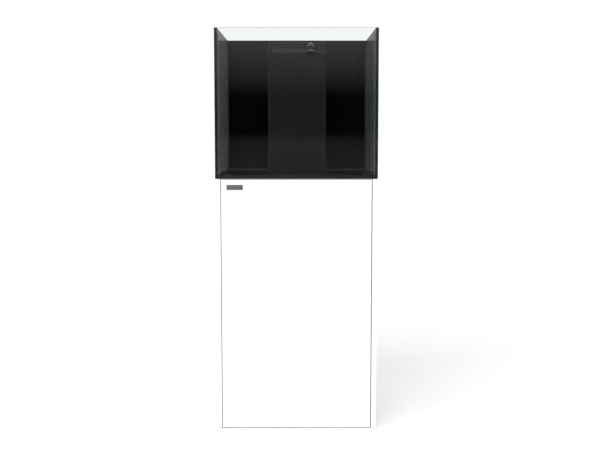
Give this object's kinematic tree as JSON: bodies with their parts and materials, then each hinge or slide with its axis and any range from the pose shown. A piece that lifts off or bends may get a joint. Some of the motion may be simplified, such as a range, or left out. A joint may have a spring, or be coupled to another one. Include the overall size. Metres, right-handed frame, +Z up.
{
  "type": "aquarium on stand",
  "caption": "Rimless glass fish tank with a black rear wall and corner-rounded weir box, on a plain white cabinet with a door, sump and plumbing.",
  "frame": {"origin": "on the floor, under the middle of the tank", "axes": "+Z up, the door and the front pane face -Y, +X to the right seen from the front"},
  "size_m": [0.6, 0.57, 1.493],
  "materials": {
    "clear_glass": "clear float glass, polished edges",
    "black_glass": "glass with a black backing",
    "silicone": "clear silicone",
    "foam": "closed-cell foam",
    "black_acrylic": "moulded, satin",
    "black_plastic": "moulded",
    "grey_pvc": "extruded pipe",
    "white_lacquer": "white satin lacquer on board",
    "badge_metal": "brushed, blank",
    "nickel": "nickel plated",
    "red_plastic": "moulded",
    "white_plastic": "moulded"
  },
  "bodies": {
    "root": {"front_pane": "clear_glass", "left_pane": "clear_glass", "right_pane": "clear_glass", "bottom_pane": "clear_glass", "sump_tank": "clear_glass", "sump_baffle": "clear_glass", "rear_pane": "black_glass", "corner_seal": "silicone", "levelling_mat": "foam", "overflow_box": "black_acrylic", "weir_comb": "black_acrylic", "filter_shelf": "black_acrylic", "bulkhead_1": "black_plastic", "bulkhead_2": "black_plastic", "bulkhead_3": "black_plastic", "bulkhead_nut_1": "black_plastic", "bulkhead_nut_2": "black_plastic", "bulkhead_nut_3": "black_plastic", "riser_coupling": "black_plastic", "return_spout": "black_plastic", "nozzle_socket": "black_plastic", "nozzle_ring": "black_plastic", "return_pump": "black_plastic", "drain_standpipe": "grey_pvc", "emergency_pipe": "grey_pvc", "return_riser": "grey_pvc", "drain_lower_pipe": "grey_pvc", "drain_valve": "grey_pvc", "left_side": "white_lacquer", "right_side": "white_lacquer", "top_board": "white_lacquer", "base_board": "white_lacquer", "rear_board": "white_lacquer", "hinge_arm_1": "nickel", "hinge_arm_2": "nickel", "hinge_arm_3": "nickel", "latch_body": "white_plastic", "topup_reservoir": "white_plastic", "feed_line": "white_plastic", "float_bracket": "white_plastic"},
    "door": {"door": "white_lacquer", "door_badge": "badge_metal", "hinge_cup_1": "nickel", "hinge_cup_2": "nickel", "hinge_cup_3": "nickel"},
    "nozzle_ball": {"nozzle_ball": "black_plastic"},
    "nozzle_tip": {"return_nozzle": "black_plastic"},
    "strainer": {"drain_strainer": "black_plastic"},
    "valve_handle": {"valve_handle": "red_plastic"},
    "filter_cup": {"filter_cup": "white_plastic"},
    "float_arm": {"float_arm": "black_plastic"},
    "reservoir_lid": {"reservoir_lid": "black_plastic"},
    "latch_plunger": {"latch_plunger": "white_plastic"},
    "foot_front_left": {"foot_front_left": "black_plastic"},
    "foot_front_right": {"foot_front_right": "black_plastic"},
    "foot_rear_left": {"foot_rear_left": "black_plastic"},
    "foot_rear_right": {"foot_rear_right": "black_plastic"}
  },
  "joints": [
    {"name": "door_swing", "type": "hinge", "parent": "root", "child": "door", "pos_m": [-0.2785, -0.2835, 0.4717], "axis": [0, 0, -1], "range_deg": [0, 100]},
    {"name": "nozzle_tilt", "type": "hinge", "parent": "root", "child": "nozzle_ball", "pos_m": [0.056, 0.12744, 1.44883], "axis": [1, 0, 0], "range_deg": [-20, 20]},
    {"name": "nozzle_turn", "type": "hinge", "parent": "nozzle_ball", "child": "nozzle_tip", "pos_m": [0.056, 0.12744, 1.44883], "axis": [0, -0.866, -0.5], "range_deg": [-90, 90]},
    {"name": "strainer_lift", "type": "slide", "parent": "root", "child": "strainer", "axis": [0, 0, 1], "range_m": [0, 0.05]},
    {"name": "valve_turn", "type": "hinge", "parent": "root", "child": "valve_handle", "pos_m": [-0.072, 0.1767, 0.7014], "axis": [0, 1, 0], "range_deg": [0, 90]},
    {"name": "filter_cup_lift", "type": "slide", "parent": "root", "child": "filter_cup", "axis": [0, 0, 1], "range_m": [0, 0.2]},
    {"name": "float_pivot", "type": "hinge", "parent": "root", "child": "float_arm", "pos_m": [0.1507, 0.088, 0.3383], "axis": [0, 1, 0], "range_deg": [-25, 15]},
    {"name": "reservoir_lid_lift", "type": "slide", "parent": "root", "child": "reservoir_lid", "axis": [0, 0, 1], "range_m": [0, 0.05]},
    {"name": "latch_push", "type": "slide", "parent": "root", "child": "latch_plunger", "axis": [0, 1, 0], "range_m": [0, 0.003], "stiffness_N_per_m": 400},
    {"name": "foot_front_left_turn", "type": "hinge", "parent": "root", "child": "foot_front_left", "pos_m": [-0.2357, -0.2185, 0], "axis": [0, 0, 1], "range_deg": [-180, 180]},
    {"name": "foot_front_right_turn", "type": "hinge", "parent": "root", "child": "foot_front_right", "pos_m": [0.2357, -0.2185, 0], "axis": [0, 0, 1], "range_deg": [-180, 180]},
    {"name": "foot_rear_left_turn", "type": "hinge", "parent": "root", "child": "foot_rear_left", "pos_m": [-0.2357, 0.2267, 0], "axis": [0, 0, 1], "range_deg": [-180, 180]},
    {"name": "foot_rear_right_turn", "type": "hinge", "parent": "root", "child": "foot_rear_right", "pos_m": [0.2357, 0.2267, 0], "axis": [0, 0, 1], "range_deg": [-180, 180]}
  ]
}
